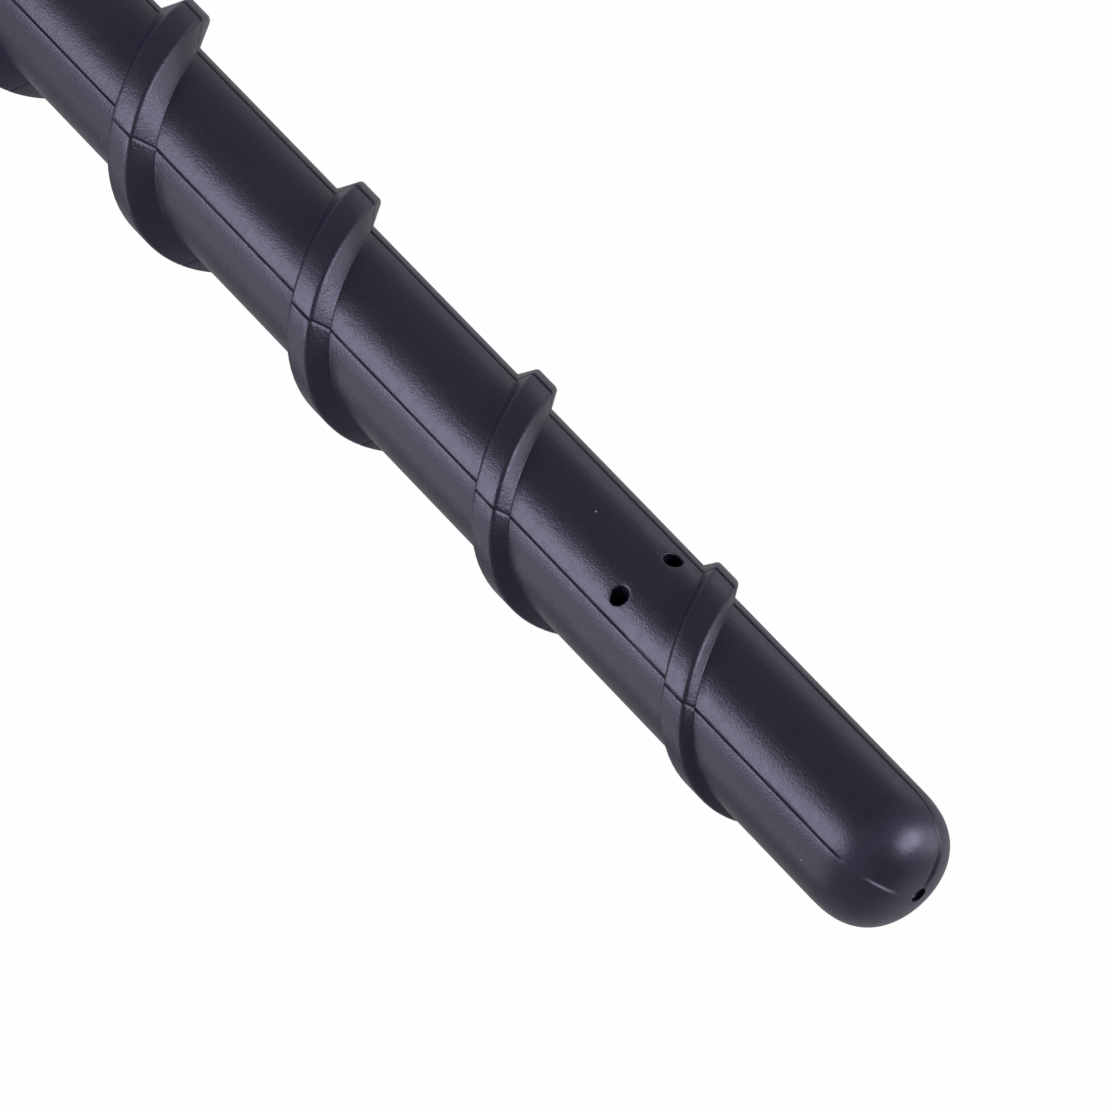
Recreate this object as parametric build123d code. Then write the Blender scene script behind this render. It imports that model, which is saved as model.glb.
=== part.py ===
from build123d import *
from math import atan, ceil, cos, degrees, pi, radians, sqrt, tan
import os

# A short screw-in car mast aerial: a rubber jacket with a spiral rib, moulded over a wound rod and a ferrule.
# Millimetres, +Z up the mast. The origin is the middle of the seat face, with the stud below it.

# Mast and tip of the jacket
mast_length = 180.0  # seat face to the pole of the tip
mast_diameter = 8.0
tip_crown_radius = 16.0
tip_corner_radius = 3.0
tip_pit_diameter = 0.7
tip_pit_depth = 0.4

# Collar at the foot of the jacket
collar_height = 20.0
collar_cover = 0.35  # how far the collar stands proud of the rib that runs into it
collar_flare = 0.5  # how much further out the foot stands than the collar's top
collar_shoulder_height = 8.0  # the cone from the collar in to the mast
collar_top_fillet = 2.0
collar_foot_chamfer = 0.6

# Spiral rib, right-handed, whose crest lies on a cone that sinks into the mast towards the tip
rib_pitch = 15.58
rib_crest_width = 1.67
rib_flank_angle = 31.0  # degrees between a flank and a plane square to the mast
rib_height_at_collar = 3.22
rib_height_at_pole = 0.33  # where the cone of the crest would come out at the pole
rib_root_depth = 0.6  # how deep the rib is rooted under the mast's surface
rib_lead_in = 8.0  # length of mast over which the rib starts inside the collar
rib_end_from_pole = 7.9
rib_runout_turns = 0.25
rib_runout_sink = 0.1  # how far under the surface the crest ends
rib_pole_angle = 317.9  # degrees round from +X at which the crest line would reach the pole

# Holes that the mould's core pins left, two from the front and two from the back
pin_hole_diameter = 1.0
pin_hole_spacing = 3.54
pin_hole_from_pole = 22.05

# Fibreglass rod and the flat copper wire wound round it
rod_diameter = 4.0
rod_end_from_pole = 7.0
rod_end_clearance = 0.2
wire_width = 1.2
wire_thickness = 0.3
winding_pitch = 22.0
winding_clearance = 0.03  # between the wire and the rod
winding_end_from_rod_end = 4.0
jacket_clearance = 0.06  # between the winding and the jacket's bore

# Ferrule, turned from hexagon bar
stud_diameter = 5.0
stud_length = 9.0
stud_chamfer = 0.6
flange_diameter = 10.0
flange_thickness = 1.5
neck_diameter = 6.5
neck_length = 2.0
barrel_across_flats = 8.0
barrel_length = 12.0
socket_depth = 11.0
socket_clearance = 0.05  # between the rod and its socket

mast_radius = mast_diameter / 2
barrel_top = flange_thickness + neck_length + barrel_length
rod_foot = barrel_top - socket_depth
rod_top = mast_length - rod_end_from_pole
winding_inside = rod_diameter / 2 + winding_clearance
winding_outside = winding_inside + wire_thickness
bore_radius = winding_outside + jacket_clearance
ON_TOP = (Align.CENTER, Align.CENTER, Align.MIN)


def crest_radius(z):
    """Radius of the cone that the rib's crest lies on."""
    share = (mast_length - z) / (mast_length - collar_height)
    return mast_radius + rib_height_at_pole + (rib_height_at_collar - rib_height_at_pole) * share


def tapered_helix(foot_z, foot_radius, top_z, top_radius, turns):
    """A right-handed helix on a cone or cylinder, which starts over +X."""
    rise = top_z - foot_z
    cone_angle = degrees(atan((top_radius - foot_radius) / rise))
    slant_pitch = rise / turns / cos(radians(cone_angle))
    return Edge.make_helix(slant_pitch, rise, foot_radius, center=(0, 0, foot_z), angle=cone_angle)


def helical_solid(foot_corners, top_corners, turns):
    """A solid ruled between helices, one for each (radius, z) corner of its section, with flat caps."""
    helices = []
    for (foot_radius, foot_z), (top_radius, top_z) in zip(foot_corners, top_corners):
        helices.append(tapered_helix(foot_z, foot_radius, top_z, top_radius, turns))
    neighbours = helices[1:] + helices[:1]
    faces = [Face.make_surface_from_curves(one, other) for one, other in zip(helices, neighbours)]
    faces += [Face(Wire.make_polygon([helix @ end for helix in helices])) for end in (0, 1)]
    return Solid(Shell(faces))


def rib_section(crest, z):
    """Corners of the rib's section where its crest has that radius, from root to crest and back."""
    root = mast_radius - rib_root_depth
    half_crest = rib_crest_width / 2
    half_root = half_crest + (crest - root) * tan(radians(rib_flank_angle))
    return [(root, z - half_root), (crest, z - half_crest), (crest, z + half_crest), (root, z + half_root)]


def rib_length(foot_crest, foot_z, top_crest, top_z, turns):
    """One length of rib between two heights, turned to its place on the spiral."""
    rib = helical_solid(rib_section(foot_crest, foot_z), rib_section(top_crest, top_z), turns)
    return Rot(0, 0, rib_pole_angle + 360 * (foot_z - mast_length) / rib_pitch) * rib


def spiral_rib():
    """The rib, about a turn at a time, from inside the collar to where it sinks into the mast."""
    start_z = collar_height - rib_lead_in
    end_z = mast_length - rib_end_from_pole
    runout_z = end_z - rib_runout_turns * rib_pitch
    lengths = ceil((runout_z - start_z) / rib_pitch)
    rise = (runout_z - start_z) / lengths
    rib = []
    for foot_z in [start_z + rise * number for number in range(lengths)]:
        top_z = foot_z + rise
        rib.append(rib_length(crest_radius(foot_z), foot_z, crest_radius(top_z), top_z, rise / rib_pitch))
    sunk_crest = mast_radius - rib_runout_sink
    rib.append(rib_length(crest_radius(runout_z), runout_z, sunk_crest, end_z, rib_runout_turns))
    return rib


def jacket_form():
    """The turned form of the jacket: collar, shoulder, mast and a tip of two arcs, crown and corner."""
    collar_radius = crest_radius(collar_height) + collar_cover
    foot_radius = collar_radius + collar_flare
    crown_z = mast_length - tip_crown_radius
    corner_x = mast_radius - tip_corner_radius
    corner_rise = sqrt((tip_crown_radius - tip_corner_radius) ** 2 - corner_x**2)
    reach = tip_crown_radius / (tip_crown_radius - tip_corner_radius)
    corner_start = (mast_radius, crown_z + corner_rise)
    crown_start = (corner_x * reach, crown_z + corner_rise * reach)
    outline = Polyline(
        (0, mast_length),
        (0, 0),
        (foot_radius - collar_foot_chamfer, 0),
        (foot_radius, collar_foot_chamfer),
        (collar_radius, collar_height),
        (mast_radius, collar_height + collar_shoulder_height),
        corner_start,
    )
    corner = RadiusArc(corner_start, crown_start, -tip_corner_radius)
    crown = RadiusArc(crown_start, (0, mast_length), -tip_crown_radius)
    profile = make_face(outline + corner + crown)
    collar_top = profile.vertices().sort_by_distance((collar_radius, collar_height))[0]
    profile = fillet(collar_top, collar_top_fillet)
    return revolve(Plane.XZ * profile, Axis.Z)


def pin_holes():
    """The two pin holes on the front and, in line with them, the two on the back."""
    across = Rot(90, 0, 0) * Cylinder(pin_hole_diameter / 2, 2 * mast_diameter)
    hole_z = mast_length - pin_hole_from_pole
    return [Pos(side * pin_hole_spacing / 2, 0, hole_z) * across for side in (-1, 1)]


def ferrule_blank():
    """The outside of the ferrule, which the jacket is moulded round."""
    stud = Pos(0, 0, -stud_length) * Cylinder(stud_diameter / 2, stud_length, align=ON_TOP)
    stud = chamfer(stud.edges().sort_by(Axis.Z)[0], stud_chamfer)
    flange = Cylinder(flange_diameter / 2, flange_thickness, align=ON_TOP)
    neck = Pos(0, 0, flange_thickness) * Cylinder(neck_diameter / 2, neck_length, align=ON_TOP)
    hexagon = RegularPolygon(barrel_across_flats / 2, 6, major_radius=False)
    barrel = Pos(0, 0, flange_thickness + neck_length) * extrude(hexagon, barrel_length)
    return stud + flange + neck + barrel


def threaded_ferrule():
    """The ferrule with the blind socket that the rod is glued into. The stud's thread is left plain."""
    socket_radius = rod_diameter / 2 + socket_clearance
    socket = Pos(0, 0, rod_foot) * Cylinder(socket_radius, socket_depth, align=ON_TOP)
    return ferrule_blank() - socket


def core_rod():
    """The rod, from the bottom of its socket to just short of the tip."""
    return Pos(0, 0, rod_foot) * Cylinder(rod_diameter / 2, rod_top - rod_foot, align=ON_TOP)


def wire_section(z):
    """Corners of the flat wire's section in a plane through the axis, which cuts the climbing wire aslant."""
    climb = winding_pitch / (2 * pi * winding_inside)
    half_width = wire_width / 2 * sqrt(1 + climb**2)
    low = [(winding_outside, z - half_width), (winding_inside, z - half_width)]
    high = [(winding_inside, z + half_width), (winding_outside, z + half_width)]
    return low + high


def radiator_wire():
    """The open winding of flat wire, cut off square where it is soldered to the top of the barrel."""
    start_z = barrel_top - winding_pitch
    end_z = rod_top - winding_end_from_rod_end
    wire = helical_solid(wire_section(start_z), wire_section(end_z), (end_z - start_z) / winding_pitch)
    return split(wire, Plane.XY.offset(barrel_top), keep=Keep.TOP)


def mast_jacket():
    """The one-piece moulding, hollow where it holds the ferrule and the wound rod."""
    jacket = jacket_form() + spiral_rib()
    bore_length = rod_top + rod_end_clearance - barrel_top
    jacket -= ferrule_blank()
    jacket -= Pos(0, 0, barrel_top) * Cylinder(bore_radius, bore_length, align=ON_TOP)
    jacket -= pin_holes()
    return jacket - Pos(0, 0, mast_length) * Cylinder(tip_pit_diameter / 2, 2 * tip_pit_depth)


os.makedirs("parts", exist_ok=True)
export_step(mast_jacket(), "parts/mast_jacket.step")
export_step(core_rod(), "parts/core_rod.step")
export_step(radiator_wire(), "parts/radiator_wire.step")
export_step(threaded_ferrule(), "parts/threaded_ferrule.step")
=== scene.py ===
from math import atan2, cos, hypot, pi, radians, sin, tan

import bpy
from mathutils import Matrix, Vector, noise


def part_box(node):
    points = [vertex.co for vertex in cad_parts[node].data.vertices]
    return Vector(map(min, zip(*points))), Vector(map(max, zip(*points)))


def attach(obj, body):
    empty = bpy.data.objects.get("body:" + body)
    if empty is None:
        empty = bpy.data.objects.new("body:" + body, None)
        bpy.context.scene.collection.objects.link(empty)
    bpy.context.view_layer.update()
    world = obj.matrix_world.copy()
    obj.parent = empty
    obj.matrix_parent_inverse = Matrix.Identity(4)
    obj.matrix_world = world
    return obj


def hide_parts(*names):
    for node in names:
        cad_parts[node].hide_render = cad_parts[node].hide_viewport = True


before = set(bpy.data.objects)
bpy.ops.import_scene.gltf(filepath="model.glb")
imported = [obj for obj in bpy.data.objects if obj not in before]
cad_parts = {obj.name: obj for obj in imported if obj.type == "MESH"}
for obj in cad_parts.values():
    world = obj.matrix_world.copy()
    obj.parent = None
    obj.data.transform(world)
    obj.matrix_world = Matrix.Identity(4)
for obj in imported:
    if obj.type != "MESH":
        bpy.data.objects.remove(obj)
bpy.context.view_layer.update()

bl_info = {
    "name": "Car Mast Aerial",
    "version": (1, 0, 0),
    "blender": (4, 5, 0),
    "location": "View3D > Sidebar > Aerial",
    "description": "Dresses the solids of a short screw-in mast aerial with a spiral rib",
    "category": "Add Mesh",
}

MM = 0.001
JACKET_LOW, JACKET_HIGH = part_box("mast_jacket")
FERRULE_LOW, FERRULE_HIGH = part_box("threaded_ferrule")
ROD_LOW, ROD_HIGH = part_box("core_rod")
WIRE_LOW, WIRE_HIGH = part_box("radiator_wire")

# The mould opens in four slides, so four seams run up the jacket, an eighth of a turn off the X and Y axes
SLIDES = 4
FIRST_SEAM = pi / SLIDES
GATED_SEAM = 2
GATE_OFFSET = Vector((-0.22, 0.27, 0)) * MM  # how far the gate mark lies off the axis
FLASHED_SEAM = 3
COLUMNS_PER_SLIDE = 32
COLUMNS = SLIDES * COLUMNS_PER_SLIDE
TURNS_WOUND = 13
TURNS_BELOW_POLE = 11

# Marks on the tip, by the distance from the axis at which each one starts to show and shows in full
FLASH_FROM_INSIDE = (1.75 * MM, 2.25 * MM)
FLASH_FROM_OUTSIDE = (3.6 * MM, 3.4 * MM)
GOUGE_FROM_INSIDE = (0.6 * MM, 1.1 * MM)
GOUGE_FROM_OUTSIDE = (2.7 * MM, 1.4 * MM)
OFFSET_FROM_OUTSIDE = (3.4 * MM, 2.4 * MM)
# The same for the grooves of the seams, by the drop below the pole
GROOVE_FROM_POLE = (2.55 * MM, 2.9 * MM)
GATED_GROOVE_FROM_POLE = (1.4 * MM, 2.9 * MM)

SMOOTH_ANGLE = radians(32)
MEETING = 0.001 * MM  # points nearer than this are one
ROUND_STEPS = 5  # points round an edge of the rib
DOME_STEPS = 30
STUD_COLUMNS = 64


def length(name, description, default):
    """A property for a length in metres."""
    return bpy.props.FloatProperty(
        name=name, description=description, default=default, unit="LENGTH", precision=5
    )


def angle(name, description, default):
    """A property for an angle in radians."""
    return bpy.props.FloatProperty(name=name, description=description, default=default, subtype="ANGLE")


def paint(name, description, default):
    """A property for a colour as an sRGB hex value."""
    return bpy.props.StringProperty(name=name, description=description, default=default)


def ratio(name, description, default):
    """A property for a plain number."""
    return bpy.props.FloatProperty(name=name, description=description, default=default)


class AerialSizes(bpy.types.PropertyGroup):
    """Sizes of the aerial's pieces, in metres and radians."""

    mast_length: length("Mast length", "Seat face to the pole of the tip", round(JACKET_HIGH.z, 4))
    mast_radius: length("Mast radius", "Radius of the plain mast between the turns of the rib", 4.0 * MM)
    dome_height: length("Dome height", "Height of the rounded tip", 4.0 * MM)
    dome_fullness: ratio("Dome fullness", "2 is a round tip, more is a fuller one", 2.6)
    pit_radius: length("Pit radius", "Radius of the gate mark on the pole of the tip", 0.46 * MM)
    pit_depth: length("Pit depth", "Depth of the gate mark on the pole of the tip", 1.0 * MM)
    gouge_depth: length("Gouge depth", "Depth of the gouge from the gate mark along its seam", 0.34 * MM)
    flash_height: length("Flash height", "Height of the line of flash on the tip", 0.095 * MM)

    rib_pitch: length("Rib pitch", "Rise of the spiral rib in one turn", 15.58 * MM)
    rib_crest_width: length("Rib crest width", "Width of the flat on top of the rib", 1.67 * MM)
    rib_flank_angle: angle("Rib flank angle", "Lean of a flank away from square to the mast", radians(31))
    rib_height_at_pole: length("Rib height at the pole", "Height of the crest's cone at the pole", 0.33 * MM)
    rib_height_at_collar: length("Rib height at the collar", "Height of the rib at the collar", 3.22 * MM)
    rib_edge_radius: length("Rib edge radius", "Rounding of the crest's edge towards the collar", 0.3 * MM)
    rib_tip_edge_radius: length("Rib tip edge radius", "Rounding of the crest edge towards the tip", 0.4 * MM)
    rib_foot_radius: length("Rib foot radius", "Hollow rounding where a flank meets the mast", 0.1 * MM)
    rib_pole_angle: angle("Rib pole angle", "Angle of the crest from +X at the pole", radians(317.9))
    rib_end_from_pole: length("Rib end from the pole", "Where the rib has sunk into the mast", 7.9 * MM)
    rib_runout_turns: ratio("Rib run-out", "Share of a turn over which the rib sinks", 0.25)

    seam_width: length("Seam width", "Width of the groove along a mould seam", 0.17 * MM)
    seam_depth: length("Seam depth", "Depth of the groove along a mould seam", 0.07 * MM)

    collar_height: length("Collar height", "Height of the collar under its shoulder", 20.0 * MM)
    collar_flare: length("Collar flare", "How far the foot stands out past the top", 0.5 * MM)
    collar_shoulder: length("Collar shoulder", "Height of the cone from the collar in to the mast", 8.0 * MM)
    collar_top_fillet: length("Collar top fillet", "Rounding of the collar's top edge", 2.0 * MM)
    collar_foot_chamfer: length("Collar foot chamfer", "Chamfer of the collar's foot", 0.6 * MM)

    pin_hole_radius: length("Pin hole radius", "Radius of the holes of the mould's core pins", 0.5 * MM)
    pin_hole_spacing: length("Pin hole spacing", "Distance between the two holes side by side", 3.54 * MM)
    pin_hole_from_pole: length("Pin holes from the pole", "How far below the pole the holes lie", 22.05 * MM)
    pin_hole_round: length("Pin hole rounding", "Rounding of a hole's rim", 0.09 * MM)

    stud_radius: length("Stud radius", "Outside radius of the stud's thread", 2.5 * MM)
    stud_chamfer: length("Stud chamfer", "Chamfer of the stud's end", 0.6 * MM)
    thread_pitch: length("Thread pitch", "Rise of the stud's thread in one turn", 0.8 * MM)
    flange_radius: length("Flange radius", "Radius of the flange that the stud grows from", FERRULE_HIGH.x)
    flange_thickness: length("Flange thickness", "Thickness of the flange", 1.5 * MM)
    neck_radius: length("Neck radius", "Radius of the neck that locks the rubber", 3.25 * MM)
    neck_length: length("Neck length", "Length of the neck that locks the rubber", 2.0 * MM)
    barrel_across_flats: length("Barrel across flats", "Width of the hexagon barrel", 8.0 * MM)
    socket_clearance: length("Socket clearance", "Room between the rod and its socket", 0.05 * MM)
    bore_clearance: length("Bore clearance", "Room between the winding and the jacket's bore", 0.06 * MM)
    rod_end_clearance: length("Rod end clearance", "Room above the rod's end", 0.2 * MM)


class AerialColours(bpy.types.PropertyGroup):
    """Colours of the aerial's finishes, as sRGB hex values."""

    rubber: paint("Rubber", "Black moulded rubber of the jacket", "0D0C11")
    rubber_bloom: paint("Rubber bloom", "Faint grey bloom on the rubber", "111015")
    # Painted reflection: the tip's colour lightens the tip to stand in for light it throws back
    tip_painted_reflection: paint("Rubber of the tip", "Painted reflection that lightens the tip", "1D1D28")
    rubber_haze: paint("Rubber haze", "Cool haze of the rubber seen at a slant", "6060FF")
    rubber_gloss: paint("Rubber gloss", "Cool cast of the light that the rubber throws back", "DFDBFF")
    # The seams' colour is painted shade, for the shade down in a seam's groove
    seam_painted_shade: paint("Rubber in the seams", "Shaded rubber down in a mould seam", "040306")
    rubber_dust: paint("Dust", "Specks of dust on the rubber", "77767E")
    rod: paint("Rod", "Dark resin of the fibreglass rod", "2B2A26")
    rod_fibre: paint("Rod fibre", "Glass fibres that show in the rod's resin", "4A473E")
    copper: paint("Copper", "Bare colour of the winding's copper", "C77B4A")
    copper_dark: paint("Dark copper", "Darker runs under the winding's enamel", "8E4F2B")
    plating: paint("Plating", "Nickel plating of the ferrule", "C9C5BC")
    plating_worn: paint("Worn plating", "Warmer plating where it is thin", "B3A88F")
    grease: paint("Grease", "Grease in the roots of the thread", "4E4A42")
    floor: paint("Floor", "Plain white floor", "FAFAFA")


# Hand tools

def sizes():
    """The aerial's sizes as set in the scene."""
    return bpy.context.scene.aerial_sizes


def colours():
    """The aerial's colours as set in the scene."""
    return bpy.context.scene.aerial_colours


def only(piece):
    """Leaves nothing but this piece selected and active."""
    bpy.ops.object.select_all(action="DESELECT")
    piece.select_set(True)
    bpy.context.view_layer.objects.active = piece


def name_piece(name):
    """Names the piece that was just added."""
    piece = bpy.context.object
    piece.name = name
    piece.data.name = name
    return piece


def draw_section(name, points):
    """Draws an open line in the XZ plane through (x, z) points, one extrusion after the other."""
    bpy.ops.object.select_all(action="DESELECT")
    bpy.ops.mesh.primitive_plane_add(size=MM)
    piece = name_piece(name)
    bpy.ops.object.mode_set(mode="EDIT")
    bpy.ops.mesh.select_mode(type="VERT")
    bpy.ops.mesh.merge(type="CENTER")
    bpy.ops.transform.translate(value=(points[0][0], 0, points[0][1]))
    for (x, z), (next_x, next_z) in zip(points, points[1:]):
        bpy.ops.mesh.extrude_region_move(TRANSFORM_OT_translate={"value": (next_x - x, 0, next_z - z)})
    bpy.ops.object.mode_set(mode="OBJECT")
    return piece


def apply_modifiers(piece):
    """Applies a piece's modifiers in order."""
    only(piece)
    for modifier in list(piece.modifiers):
        bpy.ops.object.modifier_apply(modifier=modifier.name)


def wind(piece, pitch, turns, columns):
    """Winds a drawn section up the Z axis."""
    screw = piece.modifiers.new("wind", "SCREW")
    screw.axis = "Z"
    screw.angle = 2 * pi
    screw.screw_offset = pitch
    screw.iterations = turns
    screw.steps = screw.render_steps = columns
    apply_modifiers(piece)


def turn_round(piece, columns):
    """Turns a drawn section into a round form about the Z axis, closed on the axis."""
    wind(piece, 0, 1, columns)


def close_up(piece):
    """Merges what meets and points all faces outwards."""
    only(piece)
    bpy.ops.object.mode_set(mode="EDIT")
    bpy.ops.mesh.select_all(action="SELECT")
    bpy.ops.mesh.remove_doubles(threshold=MEETING)
    bpy.ops.mesh.normals_make_consistent(inside=False)
    bpy.ops.object.mode_set(mode="OBJECT")


def saw_off(piece, z, side):
    """Cuts a piece square to the axis and throws away what lies above or below."""
    only(piece)
    bpy.ops.object.mode_set(mode="EDIT")
    bpy.ops.mesh.select_all(action="SELECT")
    above = side == "above"
    bpy.ops.mesh.bisect(
        plane_co=(0, 0, z),
        plane_no=(0, 0, 1),
        clear_outer=above,
        clear_inner=not above,
        threshold=0.0001 * MM,
    )
    bpy.ops.object.mode_set(mode="OBJECT")


def select_rim(piece, z):
    """Selects the open edge that lies at a height, and stays in edit mode."""
    only(piece)
    bpy.ops.object.mode_set(mode="EDIT")
    bpy.ops.mesh.select_mode(type="EDGE")
    bpy.ops.mesh.select_all(action="DESELECT")
    bpy.ops.object.mode_set(mode="OBJECT")
    faces_at = {}
    for polygon in piece.data.polygons:
        for key in polygon.edge_keys:
            faces_at[key] = faces_at.get(key, 0) + 1
    for edge in piece.data.edges:
        heights = [piece.data.vertices[i].co.z for i in edge.vertices]
        if max(abs(h - z) for h in heights) < 0.002 * MM and faces_at[edge.key] == 1:
            edge.select = True
    bpy.ops.object.mode_set(mode="EDIT")


def raise_rings(piece, z, radius, rings):
    """Extrudes the open edge at a height through (radius, z) rings and closes the last one."""
    select_rim(piece, z)
    for next_radius, next_z in rings:
        bpy.ops.mesh.extrude_region_move(TRANSFORM_OT_translate={"value": (0, 0, next_z - z)})
        share = next_radius / radius
        bpy.ops.transform.resize(value=(share, share, 1), center_override=(0, 0, next_z))
        radius, z = next_radius, next_z
    bpy.ops.mesh.merge(type="CENTER")
    bpy.ops.object.mode_set(mode="OBJECT")


def cap(piece, z):
    """Closes the open edge at a height with one flat face."""
    select_rim(piece, z)
    bpy.ops.mesh.edge_face_add()
    bpy.ops.object.mode_set(mode="OBJECT")


def join_solids(piece, other, operation):
    """Fuses another solid with a piece, or cuts it out, and uses the other one up."""
    boolean = piece.modifiers.new("join", "BOOLEAN")
    boolean.operation = operation
    boolean.solver = "EXACT"
    boolean.object = other
    apply_modifiers(piece)
    bpy.data.meshes.remove(other.data)
    close_up(piece)


def add_pin(name, radius, low, high, vertices=64):
    """A round or polygonal pin between two points, for cutting or fusing."""
    low, high = Vector(low), Vector(high)
    bpy.ops.object.select_all(action="DESELECT")
    bpy.ops.mesh.primitive_cylinder_add(vertices=vertices, radius=radius, depth=(high - low).length)
    pin = name_piece(name)
    turn = (high - low).to_track_quat("Z", "Y").to_matrix().to_4x4()
    pin.data.transform(Matrix.Translation((low + high) / 2) @ turn)
    return pin


def arc(centre_x, centre_z, radius, start, end, count):
    """Points along an arc in the XZ plane, from one angle to another, both measured from +X to +Z."""
    angles = [start + (end - start) * i / (count - 1) for i in range(count)]
    return [(centre_x + radius * cos(a), centre_z + radius * sin(a)) for a in angles]


def finish_piece(piece, material, solid):
    """Dresses a piece, smooths it and gives it its place in the frame."""
    only(piece)
    bpy.ops.object.shade_smooth_by_angle(angle=SMOOTH_ANGLE)
    piece.data.materials.clear()
    piece.data.materials.append(material)
    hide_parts(solid)
    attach(piece, "root")


# The jacket

def seam_spaced_angle(column):
    """Angle of a column of vertices: they crowd together at the seams and spread out between them."""
    slide, step = divmod(column, COLUMNS_PER_SLIDE)
    half = COLUMNS_PER_SLIDE / 2
    from_middle = (step - half) / half
    crowded = 1 - (1 - abs(from_middle)) ** 2.2
    return FIRST_SEAM + pi / SLIDES * (2 * slide + 1 + (crowded if from_middle > 0 else -crowded))


def seam_groove(turn, radius, z):
    """Depth of a seam's groove at a point of the surface, as uneven as the mould's closing edge."""
    slide = 2 * pi / SLIDES
    seam = round((turn - FIRST_SEAM) / slide)
    from_seam = turn - FIRST_SEAM - slide * seam
    wander = 0.02 * MM * noise.noise(Vector((seam % SLIDES, 0.5, z / (3 * MM))))
    gape = 2.0 if seam % SLIDES == GATED_SEAM else 1.0
    share = 1 - abs(from_seam * radius - wander) / (gape * sizes().seam_width / 2)
    nick = 1 + 0.35 * noise.noise(Vector((0.5, seam % SLIDES, z / (0.9 * MM))))
    return gape * sizes().seam_depth * nick * max(0.0, share)


def rib_height(z):
    """Height of the rib's crest over the mast, which sinks away over the run-out."""
    s = sizes()
    share = (s.mast_length - z) / (s.mast_length - s.collar_height)
    full = s.rib_height_at_pole + (s.rib_height_at_collar - s.rib_height_at_pole) * share
    end = s.mast_length - s.rib_end_from_pole
    left = (end - z) / (s.rib_runout_turns * s.rib_pitch)
    return full * min(1.0, max(0.0, left))


def rib_side(height, edge_radius):
    """Points from the crest's middle down one flank and half the land, as (distance, lift).

    Their number is the same at any height.
    """
    s = sizes()
    half = s.rib_crest_width / 2
    lean = s.rib_flank_angle
    turn = pi / 2 - lean
    reach = tan(turn / 2)
    flank = height / cos(lean)
    shrink = min(1.0, 0.98 * flank / (reach * (edge_radius + s.rib_foot_radius)))
    edge = edge_radius * shrink
    foot = s.rib_foot_radius * shrink
    foot_x = half + height * tan(lean) + reach * foot
    side = [(0.5 * (half - reach * edge), height)]
    for i in range(ROUND_STEPS + 1):
        bend = turn * i / ROUND_STEPS
        side.append((half - reach * edge + edge * sin(bend), height - edge + edge * cos(bend)))
    for i in range(ROUND_STEPS + 1):
        bend = turn * (1 - i / ROUND_STEPS)
        side.append((foot_x - foot * sin(bend), foot - foot * cos(bend)))
    land = s.rib_pitch / 2 - foot_x
    return side + [(foot_x + land * share, 0.0) for share in (0.08, 0.2, 0.36, 0.52, 0.68, 0.84, 1.0)]


def rib_stations(height):
    """Points across one turn of the rib as (distance towards the tip, lift)."""
    s = sizes()
    below = [(-along, lift) for along, lift in rib_side(height, s.rib_edge_radius)]
    return below[::-1] + [(0.0, height)] + rib_side(height, s.rib_tip_edge_radius)


def wound_mast():
    """The mast with its rib: one turn is wound up, and each point settles on the tapering rib."""
    s = sizes()
    stations = rib_stations(s.rib_height_at_collar)
    mast = draw_section("mast_jacket_moulded", [(s.mast_radius + lift, along) for along, lift in stations])
    count = len(stations)
    drawn_order = sorted(range(count), key=lambda index: mast.data.vertices[index].co.z)
    wind(mast, s.rib_pitch, TURNS_WOUND, COLUMNS)
    vertices = mast.data.vertices
    columns = COLUMNS * TURNS_WOUND + 1
    if len(vertices) != count * columns:
        raise RuntimeError("the wound section has an unexpected number of vertices")
    start = -TURNS_BELOW_POLE * 2 * pi
    for column in range(columns):
        turn = start + seam_spaced_angle(column)
        middle = s.mast_length + s.rib_pitch * (turn - s.rib_pole_angle) / (2 * pi)
        for station, (along, lift) in zip(drawn_order, rib_stations(rib_height(middle))):
            z = middle + along
            radius = s.mast_radius + lift
            radius -= seam_groove(turn, radius, z)
            vertices[column * count + station].co = (radius * cos(turn), radius * sin(turn), z)
    close_up(mast)
    return mast


def fade(value, start, end):
    """0 at the start, 1 at the end and straight in between."""
    return min(1.0, max(0.0, (value - start) / (end - start)))


def tip_mark(seam, across, radius, drop):
    """Lift of a seam's mark on the tip: one seam leaves a line of flash, the next runs into the gate mark."""
    s = sizes()
    share = max(0.0, 1 - across / (s.seam_width / 2))
    lift = -share * s.seam_depth * fade(drop, *GROOVE_FROM_POLE)
    if seam == FLASHED_SEAM:
        spread = max(0.0, 1 - across / (0.8 * s.seam_width))
        flash = spread * s.flash_height * fade(radius, *FLASH_FROM_INSIDE)
        lift += flash * fade(radius, *FLASH_FROM_OUTSIDE)
    if seam == GATED_SEAM:
        spread = max(0.0, 1 - across / (1.3 * s.seam_width))
        gouge = s.gouge_depth * spread * fade(radius, *GOUGE_FROM_OUTSIDE)
        gouge *= fade(radius, *GOUGE_FROM_INSIDE)
        groove = share * s.seam_depth * max(0.4, 2 * fade(drop, *GATED_GROOVE_FROM_POLE))
        lift = -max(gouge, groove)
    return lift


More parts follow.
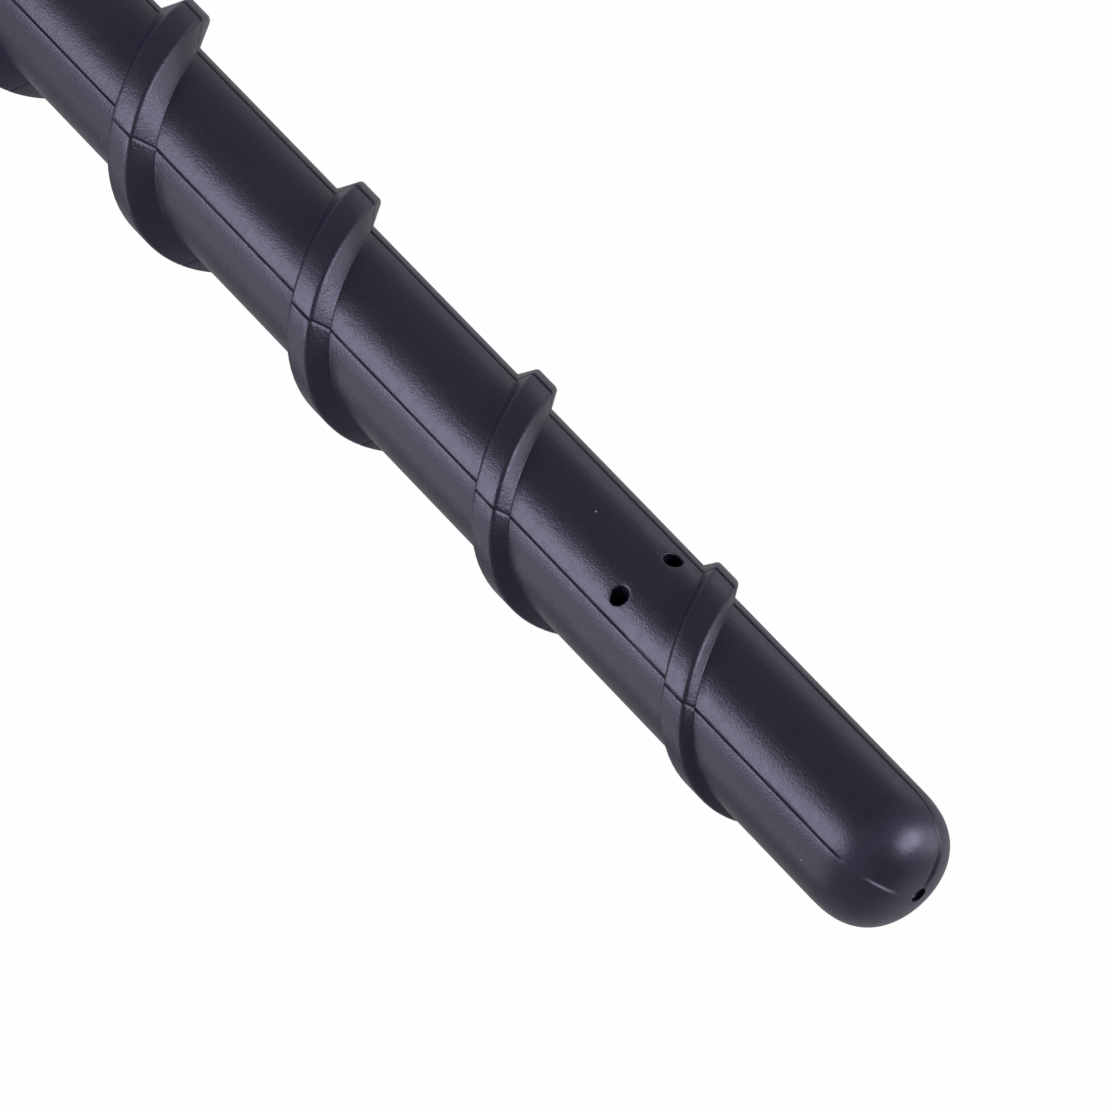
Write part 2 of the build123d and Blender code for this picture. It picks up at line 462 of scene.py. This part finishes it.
def mark_tip(mast, rings):
    """Settles the rings on the round tip, moves the gate mark off the axis and marks the seams."""
    s = sizes()
    slide = 2 * pi / SLIDES
    fullness = s.dome_fullness
    equator = s.mast_length - s.dome_height
    for vertex in mast.data.vertices:
        if vertex.co.z < equator + 0.01 * MM:
            continue
        if hypot(vertex.co.x, vertex.co.y) < 1.3 * s.pit_radius:
            vertex.co += GATE_OFFSET
            continue
        radius, z = min(rings, key=lambda ring: abs(ring[1] - vertex.co.z))
        turn = atan2(vertex.co.y, vertex.co.x)
        seam = round((turn - FIRST_SEAM) / slide)
        across = abs(turn - FIRST_SEAM - slide * seam) * radius
        lift = tip_mark(seam % SLIDES, across, radius, s.mast_length - z)
        spot = Vector((radius * cos(turn), radius * sin(turn), 0))
        spot += GATE_OFFSET * fade(radius, *OFFSET_FROM_OUTSIDE)
        share = spot.length / s.mast_radius
        rise = (1 - min(1.0, share) ** fullness) ** (1 / fullness)
        outward = share ** (fullness - 1) * spot.normalized() + Vector((0, 0, rise ** (fullness - 1)))
        spot.z = equator + s.dome_height * rise
        vertex.co = spot + lift * outward.normalized()


def round_tip(mast):
    """Saws the mast off under the tip and draws the tip up in rings, down into the gate mark."""
    s = sizes()
    equator = s.mast_length - s.dome_height
    saw_off(mast, equator, "above")
    power = 2 / s.dome_fullness
    rings = []
    for i in range(1, DOME_STEPS):
        up = pi / 2 * i / DOME_STEPS
        radius = s.mast_radius * cos(up) ** power
        if radius > 1.5 * s.pit_radius:
            rings.append((radius, equator + s.dome_height * sin(up) ** power))
    top = s.mast_length
    pit = [(s.pit_radius, top - 0.01 * MM), (1.1 * s.pit_radius, top - 0.08 * MM)]
    pit += [(1.25 * s.pit_radius, top - 0.35 * MM), (s.pit_radius, top - s.pit_depth)]
    raise_rings(mast, equator, s.mast_radius, rings + pit)
    mark_tip(mast, rings)


def turned_collar():
    """The collar and its shoulder, turned round and scored by the seams."""
    s = sizes()
    foot = JACKET_HIGH.x
    top = foot - s.collar_flare
    shoulder_top = s.collar_height + s.collar_shoulder
    slope = Vector((s.mast_radius - top, s.collar_shoulder)).normalized()
    side = Vector((top - foot, s.collar_height - s.collar_foot_chamfer)).normalized()
    corner = Vector((top, s.collar_height))
    bend = side.angle(slope)
    start = corner - side * (s.collar_top_fillet * tan(bend / 2))
    centre = start + Vector((-side.y, side.x)) * s.collar_top_fillet
    lean = -radians(90) + Vector((1, 0)).angle(side)
    chamfer = s.collar_foot_chamfer
    points = [(0, 0), (foot - chamfer, 0)]
    points += arc(foot - chamfer, chamfer, chamfer, radians(-60), 0, 4)
    for share in (0.15, 0.3, 0.45, 0.6, 0.75):
        points.append((foot + (top - foot) * share, s.collar_height * share))
    points += arc(centre.x, centre.y, s.collar_top_fillet, lean, lean + bend, 9)
    cone_end = Vector((s.mast_radius, shoulder_top))
    points += [tuple(corner + (cone_end - corner) * share) for share in (0.45, 0.65, 0.85)]
    # The top dips into the mast, where the two are fused
    points += [(s.mast_radius + 0.1 * MM, shoulder_top + 0.1 * MM)]
    points += [(0.9 * s.mast_radius, shoulder_top + 0.6 * MM), (0, shoulder_top + 0.6 * MM)]
    collar = draw_section("collar", points)
    turn_round(collar, COLUMNS)
    for index, vertex in enumerate(collar.data.vertices):
        turn = seam_spaced_angle(index // len(points))
        radius = hypot(vertex.co.x, vertex.co.y)
        radius -= seam_groove(turn, radius, vertex.co.z) if radius > 0.9 * s.mast_radius else 0
        vertex.co = (radius * cos(turn), radius * sin(turn), vertex.co.z)
    close_up(collar)
    return collar


def inner_room(holes):
    """The room in the jacket for the ferrule, the wound rod and the mould's core pins, as one cutter."""
    s = sizes()
    neck_top = s.flange_thickness + s.neck_length
    bore = WIRE_HIGH.x + s.bore_clearance
    top = ROD_HIGH.z + s.rod_end_clearance
    low = -MM
    points = [(0, low), (s.flange_radius, low), (s.flange_radius, s.flange_thickness)]
    points += [(s.neck_radius, s.flange_thickness), (s.neck_radius, neck_top + MM)]
    points += [(bore, neck_top + MM), (bore, top), (0, top)]
    room = draw_section("inner_room", points)
    turn_round(room, 64)
    close_up(room)
    corner = s.barrel_across_flats / 2 / cos(pi / 6)
    hexagon = add_pin("pocket_hexagon", corner, (0, 0, neck_top), (0, 0, FERRULE_HIGH.z), 6)
    hexagon.data.transform(Matrix.Rotation(pi / 6, 4, "Z"))
    join_solids(room, hexagon, "UNION")
    reach = 2 * s.mast_radius
    for hole_x, hole_z in holes:
        ends = (hole_x, -reach, hole_z), (hole_x, reach, hole_z)
        pin = add_pin("core_pin", s.pin_hole_radius, *ends, 40)
        join_solids(room, pin, "UNION")
    return room


def round_hole_rims(jacket, holes):
    """Rounds the rims where the pin holes come out on the mast."""
    s = sizes()
    only(jacket)
    bpy.ops.object.mode_set(mode="EDIT")
    bpy.ops.mesh.select_mode(type="EDGE")
    bpy.ops.mesh.select_all(action="DESELECT")
    bpy.ops.object.mode_set(mode="OBJECT")
    vertices = jacket.data.vertices

    def on_rim(index):
        x, y, z = vertices[index].co
        off_walls = [abs(hypot(x - hole_x, z - hole_z) - s.pin_hole_radius) for hole_x, hole_z in holes]
        return min(off_walls) < 0.01 * MM and hypot(x, y) > 0.9 * s.mast_radius

    for edge in jacket.data.edges:
        edge.select = all(on_rim(index) for index in edge.vertices)
    bpy.ops.object.mode_set(mode="EDIT")
    bpy.ops.mesh.bevel(offset=s.pin_hole_round, segments=3)
    bpy.ops.object.mode_set(mode="OBJECT")


class AERIAL_OT_mould_jacket(bpy.types.Operator):
    """Model the rubber jacket: mast and rib, rounded tip, collar, seams, pin holes and the room inside"""

    bl_idname = "aerial.mould_jacket"
    bl_label = "Mould the jacket"

    def execute(self, context):
        s = sizes()
        jacket = wound_mast()
        round_tip(jacket)
        inside_collar = s.collar_height / 2
        saw_off(jacket, inside_collar, "below")
        cap(jacket, inside_collar)
        close_up(jacket)
        join_solids(jacket, turned_collar(), "UNION")
        hole_z = s.mast_length - s.pin_hole_from_pole
        holes = [(side * s.pin_hole_spacing / 2, hole_z) for side in (-1, 1)]
        join_solids(jacket, inner_room(holes), "DIFFERENCE")
        round_hole_rims(jacket, holes)
        close_up(jacket)
        finish_piece(jacket, moulded_rubber(), "mast_jacket")
        return {"FINISHED"}


# The ferrule

def threaded_stud():
    """The stud's thread, wound from one turn, chamfered at its end and run out under the flange."""
    s = sizes()
    pitch = s.thread_pitch
    # Metric thread: flats of an eighth of the pitch on the crests and a quarter in the roots
    depth = 0.613 * pitch
    crest, root = pitch / 8, pitch / 4
    half = pitch / 2
    stations = [(-half, 0), (-half + root / 2, 0), (-crest / 2, 1)]
    stations += [(crest / 2, 1), (half - root / 2, 0), (half, 0)]
    section = [(s.stud_radius - depth + depth * lift, along) for along, lift in stations]
    stud = draw_section("threaded_ferrule_turned", section)
    end = FERRULE_LOW.z
    wind(stud, pitch, int(-end / pitch) + 3, STUD_COLUMNS)
    close_up(stud)
    runout = 1.2 * pitch
    stud.data.transform(Matrix.Translation((0, 0, end - pitch)))
    for vertex in stud.data.vertices:
        radius = hypot(vertex.co.x, vertex.co.y)
        plain = min(1.0, max(0.0, (vertex.co.z + 2 * runout) / runout))
        wanted = radius + (s.stud_radius - radius) * plain
        wanted = min(wanted, s.stud_radius - s.stud_chamfer + (vertex.co.z - end))
        vertex.co.x *= wanted / radius
        vertex.co.y *= wanted / radius
    saw_off(stud, end, "below")
    cap(stud, end)
    under = -0.25 * MM
    saw_off(stud, under, "above")
    neck_top = s.flange_thickness + s.neck_length
    flange = s.flange_radius
    rings = [(s.stud_radius + 0.06 * MM, -0.12 * MM), (s.stud_radius + 0.18 * MM, -0.04 * MM)]
    rings += [(s.stud_radius + 0.3 * MM, 0), (flange - 0.2 * MM, 0)]
    rings += [(flange - 0.06 * MM, 0.06 * MM), (flange, 0.2 * MM)]
    rings += [(flange, s.flange_thickness - 0.1 * MM), (flange - 0.1 * MM, s.flange_thickness)]
    rings += [(s.neck_radius, s.flange_thickness), (s.neck_radius, neck_top + MM)]
    raise_rings(stud, under, s.stud_radius, rings)
    close_up(stud)
    return stud


def hexagon_barrel():
    """The barrel with its bevelled edges, before the rod's socket is drilled."""
    s = sizes()
    corner = s.barrel_across_flats / 2 / cos(pi / 6)
    neck_top = s.flange_thickness + s.neck_length
    barrel = add_pin("barrel", corner, (0, 0, neck_top), (0, 0, FERRULE_HIGH.z), 6)
    barrel.data.transform(Matrix.Rotation(pi / 6, 4, "Z"))
    only(barrel)
    bpy.ops.object.mode_set(mode="EDIT")
    bpy.ops.mesh.select_all(action="SELECT")
    bpy.ops.mesh.bevel(offset=0.15 * MM, segments=2)
    bpy.ops.object.mode_set(mode="OBJECT")
    return barrel


class AERIAL_OT_turn_ferrule(bpy.types.Operator):
    """Model the ferrule: threaded stud, flange, neck and hexagon barrel with the rod's socket"""

    bl_idname = "aerial.turn_ferrule"
    bl_label = "Turn the ferrule"

    def execute(self, context):
        ferrule = threaded_stud()
        join_solids(ferrule, hexagon_barrel(), "UNION")
        radius = ROD_HIGH.x + sizes().socket_clearance
        socket = add_pin("socket", radius, (0, 0, ROD_LOW.z), (0, 0, FERRULE_HIGH.z + MM))
        join_solids(ferrule, socket, "DIFFERENCE")
        close_up(ferrule)
        finish_piece(ferrule, nickel_plated_brass(), "threaded_ferrule")
        return {"FINISHED"}


# The core

class AERIAL_OT_finish_core(bpy.types.Operator):
    """Give the rod and the winding inside the jacket their finishes"""

    bl_idname = "aerial.finish_core"
    bl_label = "Finish the rod and the winding"

    def execute(self, context):
        for solid, material in (("core_rod", pultruded_fibreglass()), ("radiator_wire", enamelled_copper())):
            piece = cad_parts[solid]
            piece.data.materials.clear()
            piece.data.materials.append(material)
        return {"FINISHED"}


# Materials

def linear(hex_colour):
    """An sRGB hex value as a linear RGBA colour."""
    parts = [int(hex_colour[i:i + 2], 16) / 255 for i in (0, 2, 4)]
    return [c / 12.92 if c <= 0.04045 else ((c + 0.055) / 1.055) ** 2.4 for c in parts] + [1.0]


def node(tree, kind, settings=(), links=()):
    """Adds a node. Settings are (name or input, value), links are (input, output of another node)."""
    made = tree.nodes.new("ShaderNode" + kind)
    for name, value in settings:
        if isinstance(name, str) and hasattr(made, name):
            setattr(made, name, value)
        else:
            made.inputs[name].default_value = value
    for name, output in links:
        tree.links.new(output, made.inputs[name])
    return made


COLOUR_MIX = ("data_type", "RGBA")


def new_material(name):
    """An empty node material with its output and a Principled shader."""
    material = bpy.data.materials.new(name)
    material.use_nodes = True
    tree = material.node_tree
    tree.nodes.clear()
    shader = node(tree, "BsdfPrincipled")
    node(tree, "OutputMaterial", links=[("Surface", shader.outputs[0])])
    return material, tree, shader


def link_finish(tree, shader, colour, roughness, bump):
    """Links a finish's colour, roughness and bump to its shader."""
    for name, output in (("Base Color", colour), ("Roughness", roughness), ("Normal", bump)):
        tree.links.new(output, shader.inputs[name])


def moulded_rubber():
    """Thermoplastic rubber from a spark-eroded mould."""
    # The eroded steel leaves a fine leathery grain, so the satin black sparkles a little where it is lit
    c = colours()
    material, tree, shader = new_material("moulded_thermoplastic_rubber")
    place = node(tree, "TexCoord").outputs["Object"]
    grain = node(tree, "TexNoise", [("Scale", 1 / (0.12 * MM)), ("Detail", 2.0)], [("Vector", place)])
    blotches = node(tree, "TexNoise", [("Scale", 1 / (0.45 * MM)), ("Detail", 1.0)], [("Vector", place)])
    drawn = node(tree, "Mapping", [("Scale", (1.0, 1.0, 0.15))], [("Vector", place)])
    fine = [("Scale", 1 / (0.22 * MM)), ("Detail", 1.0)]
    streaks = node(tree, "TexNoise", fine, [("Vector", drawn.outputs[0])])
    waves = node(tree, "TexNoise", [("Scale", 1 / (1.6 * MM)), ("Detail", 1.0)], [("Vector", place)])
    # Grain, blotches, faint lengthwise streaks from the draw and slow waves where the rubber shrank
    height = grain.outputs[0]
    for layer, share in ((blotches, 0.4), (streaks, 0.25), (waves, 0.6)):
        scaled = [("operation", "MULTIPLY_ADD"), (1, share)]
        height = node(tree, "Math", scaled, [(0, layer.outputs[0]), (2, height)]).outputs[0]
    # The tip is rubbed smoother than the mast, over its last 7 mm
    split = node(tree, "SeparateXYZ", links=[(0, place)])
    tip = sizes().mast_length
    rubbed = [("From Min", tip - 7 * MM), ("From Max", tip - 2 * MM), ("To Min", 1.0), ("To Max", 0.4)]
    grained = node(tree, "MapRange", rubbed, [("Value", split.outputs[2])])
    raised = [("Height", height), ("Strength", grained.outputs[0])]
    bump = node(tree, "Bump", [("Distance", 0.0165 * MM)], raised)
    # The four seams lie where |x| equals |y|, so their distance needs no map
    across = [node(tree, "Math", [("operation", "ABSOLUTE")], [(0, split.outputs[i])]) for i in (0, 1)]
    both = [(i, part.outputs[0]) for i, part in enumerate(across)]
    apart = node(tree, "Math", [("operation", "SUBTRACT")], both)
    from_seam = node(tree, "Math", [("operation", "ABSOLUTE")], [(0, apart.outputs[0])])
    beside_seam = [("From Min", 0.04 * MM), ("From Max", 0.09 * MM)]
    clear = node(tree, "MapRange", beside_seam, [("Value", from_seam.outputs[0])])
    past_seams = [("From Min", tip - 3.1 * MM), ("From Max", tip - 2.6 * MM)]
    on_tip = node(tree, "MapRange", past_seams, [("Value", split.outputs[2])])
    plain = node(tree, "Math", [("operation", "MAXIMUM")], [(0, clear.outputs[0]), (1, on_tip.outputs[0])])
    bloom = [COLOUR_MIX, (6, linear(c.rubber)), (7, linear(c.rubber_bloom))]
    rubber = node(tree, "Mix", bloom, [(0, waves.outputs[0])])
    # Painted shade: the rubber is painted near black along the seams, for the shade down in their grooves,
    # but not on the tip
    painted_seam_shade = [COLOUR_MIX, (6, linear(c.seam_painted_shade))]
    seam_shade_mixed = node(tree, "Mix", painted_seam_shade, [(0, plain.outputs[0]), (7, rubber.outputs[2])])
    # Painted reflection: the tip is painted lighter and bluer to stand in for light it throws back, but for
    # one spot, about 2 mm across, that is left dark as painted shade
    near_tip = [("From Min", tip - 3.4 * MM), ("From Max", tip - 2 * MM)]
    reflection_near_tip = node(tree, "MapRange", near_tip, [("Value", split.outputs[2])])
    unlit_spot = (1.15 * MM, -2.59 * MM, tip - 0.73 * MM)
    from_spot = node(tree, "VectorMath", [("operation", "DISTANCE"), (1, unlit_spot)], [(0, place)])
    off_unlit_spot = [("From Min", 0.5 * MM), ("From Max", 1.5 * MM), ("To Min", 0.0)]
    left = [("Value", from_spot.outputs["Value"]), ("To Max", reflection_near_tip.outputs[0])]
    painted_reflection_share = node(tree, "MapRange", off_unlit_spot, left)
    painted_reflection = [COLOUR_MIX, (7, linear(c.tip_painted_reflection))]
    reflection_painted = node(tree, "Mix", painted_reflection, [(0, painted_reflection_share.outputs[0]), (6, seam_shade_mixed.outputs[2])])
    # A few specks of dust, each about 0.1 mm across
    specks = node(tree, "TexVoronoi", [("Scale", 1 / (2.4 * MM))], [("Vector", place)])
    speck = [("From Min", 0.032), ("From Max", 0.014)]
    dusty = node(tree, "MapRange", speck, [("Value", specks.outputs["Distance"])])
    dust = [COLOUR_MIX, (7, linear(c.rubber_dust))]
    dusted = node(tree, "Mix", dust, [(0, dusty.outputs[0]), (6, reflection_painted.outputs[2])])
    worn = node(tree, "MapRange", [("To Min", 0.29), ("To Max", 0.41)], [("Value", blotches.outputs[0])])
    shader.inputs["Specular Tint"].default_value = linear(c.rubber_gloss)
    shader.inputs["Sheen Weight"].default_value = 0.025
    shader.inputs["Sheen Roughness"].default_value = 0.6
    shader.inputs["Sheen Tint"].default_value = linear(c.rubber_haze)
    link_finish(tree, shader, dusted.outputs[2], worn.outputs[0], bump.outputs[0])
    return material


def nickel_plated_brass():
    """Brass turned on a lathe and nickel plated."""
    # The tool leaves fine rings under the bright plating, which is warmer and duller where it is thin
    c = colours()
    material, tree, shader = new_material("turned_nickel_plated_brass")
    place = node(tree, "TexCoord").outputs["Object"]
    along = node(tree, "Mapping", [("Scale", (0.02, 0.02, 1.0))], [("Vector", place)])
    tooled = [("Scale", 1 / (0.12 * MM)), ("Detail", 2.0)]
    rings = node(tree, "TexNoise", tooled, [("Vector", along.outputs[0])])
    patches = node(tree, "TexNoise", [("Scale", 1 / (2.5 * MM)), ("Detail", 3.0)], [("Vector", place)])
    bump = node(tree, "Bump", [("Strength", 0.6), ("Distance", 0.004 * MM)], [("Height", rings.outputs[0])])
    thin = node(tree, "MapRange", [("From Min", 0.45), ("From Max", 0.7)], [("Value", patches.outputs[0])])
    plating = [COLOUR_MIX, (6, linear(c.plating)), (7, linear(c.plating_worn))]
    plated = node(tree, "Mix", plating, [(0, thin.outputs[0])])
    # Grease stays in the roots of the thread, half a millimetre below its crests
    split = node(tree, "SeparateXYZ", links=[(0, place)])
    flat = node(tree, "CombineXYZ", links=[(0, split.outputs[0]), (1, split.outputs[1])])
    radius = node(tree, "VectorMath", [("operation", "LENGTH")], [(0, flat.outputs[0])])
    out_of_roots = [("From Min", 1.95 * MM), ("From Max", 2.3 * MM)]
    crests = node(tree, "MapRange", out_of_roots, [("Value", radius.outputs["Value"])])
    grease = [COLOUR_MIX, (6, linear(c.grease))]
    greased = node(tree, "Mix", grease, [(0, crests.outputs[0]), (7, plated.outputs[2])])
    satin = node(tree, "MapRange", [("To Min", 0.2), ("To Max", 0.38)], [("Value", patches.outputs[0])])
    shader.inputs["Metallic"].default_value = 1.0
    link_finish(tree, shader, greased.outputs[2], satin.outputs[0], bump.outputs[0])
    return material


def pultruded_fibreglass():
    """Glass fibre drawn through a die with dark resin."""
    # The fibres all run lengthwise, so the dull sheen is streaked along the rod
    c = colours()
    material, tree, shader = new_material("pultruded_fibreglass")
    place = node(tree, "TexCoord").outputs["Object"]
    along = node(tree, "Mapping", [("Scale", (1.0, 1.0, 0.02))], [("Vector", place)])
    strands = [("Scale", 1 / (0.25 * MM)), ("Detail", 3.0)]
    fibres = node(tree, "TexNoise", strands, [("Vector", along.outputs[0])])
    fibred = [COLOUR_MIX, (6, linear(c.rod)), (7, linear(c.rod_fibre))]
    resin = node(tree, "Mix", fibred, [(0, fibres.outputs[0])])
    sheen = node(tree, "MapRange", [("To Min", 0.35), ("To Max", 0.6)], [("Value", fibres.outputs[0])])
    bump = node(tree, "Bump", [("Strength", 0.5), ("Distance", 0.01 * MM)], [("Height", fibres.outputs[0])])
    link_finish(tree, shader, resin.outputs[2], sheen.outputs[0], bump.outputs[0])
    return material


def enamelled_copper():
    """Flat copper wire, rolled and coated with clear winding enamel."""
    # Warm metal with faint rolling lines under a glossy skin
    c = colours()
    material, tree, shader = new_material("enamelled_copper_wire")
    place = node(tree, "TexCoord").outputs["Object"]
    rolled = node(tree, "TexNoise", [("Scale", 1 / (0.4 * MM)), ("Detail", 3.0)], [("Vector", place)])
    metal = [COLOUR_MIX, (6, linear(c.copper_dark)), (7, linear(c.copper))]
    copper = node(tree, "Mix", metal, [(0, rolled.outputs[0])])
    dull = node(tree, "MapRange", [("To Min", 0.22), ("To Max", 0.42)], [("Value", rolled.outputs[0])])
    bump = node(tree, "Bump", [("Strength", 0.3), ("Distance", 0.01 * MM)], [("Height", rolled.outputs[0])])
    shader.inputs["Metallic"].default_value = 1.0
    shader.inputs["Coat Weight"].default_value = 0.6
    shader.inputs["Coat Roughness"].default_value = 0.12
    link_finish(tree, shader, copper.outputs[2], dull.outputs[0], bump.outputs[0])
    return material


# The stage

CAMERA_PLACE = Vector((0.16679, -0.39946, 0.37029))
CAMERA_RIGHT = Vector((-0.78515, 0.01326, 0.61916))
CAMERA_UP = Vector((-0.51659, -0.56546, -0.64296))
CAMERA_LENS = 299.5
CAMERA_SENSOR = 36.0

# What gloss sees of the white that the camera sees, and the light that falls on the object from all round
FLOOR_IN_GLOSS = 0.45
SURROUNDINGS_IN_GLOSS = 0.55
AMBIENT = 0.3
FLOOR_WHITE_SHARE = 0.98  # the rest of the floor is lit paper, which holds the shadow

# Soft lamps round the mast: azimuth from +X in degrees, distance from the axis, height, height aimed at,
# width and height of the lamp in metres, and power in watts
LAMPS = (
    ("key_softbox", 323.5, 0.15, 0.072, 0.072, 0.12, 0.15, 0.314),
    ("side_softbox", 10.0, 0.15, 0.072, 0.072, 0.16, 0.145, 0.085),
    ("rim_softbox", 184.5, 0.15, 0.1, 0.1, 0.06, 0.1, 0.0105),
    ("tip_softbox", 221.5, 0.297, 0.44, 0.17, 0.25, 0.25, 1.35),
    ("fill_softbox", 180.5, 0.355, 0.417, 0.14, 0.4, 0.3, 0.56),
)


def set_camera(scene):
    """The camera stands where the photograph was taken from, with a long lens and a roll."""
    camera = bpy.data.objects.new("camera", bpy.data.cameras.new("camera"))
    scene.collection.objects.link(camera)
    camera.data.lens = CAMERA_LENS
    camera.data.sensor_width = CAMERA_SENSOR
    camera.data.sensor_fit = "HORIZONTAL"
    camera.data.clip_start = 0.01
    back = CAMERA_RIGHT.cross(CAMERA_UP)
    axes = Matrix((CAMERA_RIGHT, CAMERA_UP, back)).transposed().to_4x4()
    camera.matrix_world = Matrix.Translation(CAMERA_PLACE) @ axes
    scene.camera = camera


def set_lamps(scene):
    """Soft lamps round the mast, which the camera doesn't see."""
    for name, azimuth, distance, height, aim, wide, high, power in LAMPS:
        light = bpy.data.lights.new(name, "AREA")
        light.shape = "ELLIPSE"
        light.size, light.size_y = wide, high
        light.energy = power
        lamp = bpy.data.objects.new(name, light)
        scene.collection.objects.link(lamp)
        lamp.location = (distance * cos(radians(azimuth)), distance * sin(radians(azimuth)), height)
        back = lamp.location - Vector((0, 0, aim))
        lamp.rotation_mode = "QUATERNION"
        lamp.rotation_quaternion = back.to_track_quat("Z", "Y")
        lamp.visible_camera = False


def white_studio(tree, kind, gloss_strength):
    """The plain studio as rays see it: white to the camera and through glass, less than that off gloss.

    Gives the shader and the share of it that a ray sees, which is none for light that falls on the object.
    """
    rays = node(tree, "LightPath").outputs
    camera, gloss, glass = rays["Is Camera Ray"], rays["Is Glossy Ray"], rays["Is Transmission Ray"]
    dim = [("operation", "MULTIPLY_ADD"), (1, gloss_strength - 1), (2, 1.0)]
    dimmed = node(tree, "Math", dim, [(0, gloss)])
    white = node(tree, kind, [("Color", (1, 1, 1, 1))], [("Strength", dimmed.outputs[0])])
    first = node(tree, "Math", [("operation", "MAXIMUM")], [(0, camera), (1, gloss)])
    seen = node(tree, "Math", [("operation", "MAXIMUM")], [(0, first.outputs[0]), (1, glass)])
    return white, seen


def lay_floor():
    """A plain white floor under the stud, which keeps a soft shadow."""
    bpy.ops.object.select_all(action="DESELECT")
    bpy.ops.mesh.primitive_plane_add(size=8, location=(0, 0, FERRULE_LOW.z))
    piece = name_piece("floor")
    material, tree, shader = new_material("matt_white_paper")
    shader.inputs["Base Color"].default_value = linear(colours().floor)
    shader.inputs["Roughness"].default_value = 0.9
    white, seen = white_studio(tree, "Emission", FLOOR_IN_GLOSS)
    share = node(tree, "Math", [("operation", "MULTIPLY"), (1, FLOOR_WHITE_SHARE)], [(0, seen.outputs[0])])
    layers = [(0, share.outputs[0]), (1, shader.outputs[0]), (2, white.outputs[0])]
    mixed = node(tree, "MixShader", links=layers)
    output = next(made for made in tree.nodes if made.type == "OUTPUT_MATERIAL")
    tree.links.new(mixed.outputs[0], output.inputs["Surface"])
    piece.data.materials.append(material)


def light_surroundings(scene):
    """White surroundings as the camera sees them, and a quiet ambient light on the object."""
    world = bpy.data.worlds.new("studio")
    world.use_nodes = True
    tree = world.node_tree
    tree.nodes.clear()
    ambient = node(tree, "Background", [("Color", (1, 1, 1, 1)), ("Strength", AMBIENT)])
    white, seen = white_studio(tree, "Background", SURROUNDINGS_IN_GLOSS)
    layers = [(0, seen.outputs[0]), (1, ambient.outputs[0]), (2, white.outputs[0])]
    mixed = node(tree, "MixShader", links=layers)
    node(tree, "OutputWorld", links=[("Surface", mixed.outputs[0])])
    scene.world = world


class AERIAL_OT_set_stage(bpy.types.Operator):
    """Set up the camera, the floor, the lamps and the surrounding light"""

    bl_idname = "aerial.set_stage"
    bl_label = "Set the stage"

    def execute(self, context):
        context.scene.view_settings.view_transform = "Standard"
        set_camera(context.scene)
        lay_floor()
        set_lamps(context.scene)
        light_surroundings(context.scene)
        return {"FINISHED"}


class AERIAL_PT_sidebar(bpy.types.Panel):
    """Lists the steps that build the aerial, with its sizes and colours"""

    bl_label = "Car mast aerial"
    bl_idname = "AERIAL_PT_sidebar"
    bl_space_type = "VIEW_3D"
    bl_region_type = "UI"
    bl_category = "Aerial"

    def draw(self, context):
        column = self.layout.column()
        for operator in OPERATORS:
            column.operator(operator.bl_idname)
        for group in (context.scene.aerial_sizes, context.scene.aerial_colours):
            column.separator()
            for name in group.__annotations__:
                column.prop(group, name)


OPERATORS = (AERIAL_OT_mould_jacket, AERIAL_OT_turn_ferrule, AERIAL_OT_finish_core, AERIAL_OT_set_stage)
CLASSES = (AerialSizes, AerialColours, *OPERATORS, AERIAL_PT_sidebar)


def register():
    for cls in CLASSES:
        bpy.utils.register_class(cls)
    bpy.types.Scene.aerial_sizes = bpy.props.PointerProperty(type=AerialSizes)
    bpy.types.Scene.aerial_colours = bpy.props.PointerProperty(type=AerialColours)


def unregister():
    del bpy.types.Scene.aerial_colours
    del bpy.types.Scene.aerial_sizes
    for cls in reversed(CLASSES):
        bpy.utils.unregister_class(cls)


def main():
    register()
    bpy.ops.aerial.mould_jacket()
    bpy.ops.aerial.turn_ferrule()
    bpy.ops.aerial.finish_core()
    bpy.ops.aerial.set_stage()


if __name__ == "__main__":
    main()
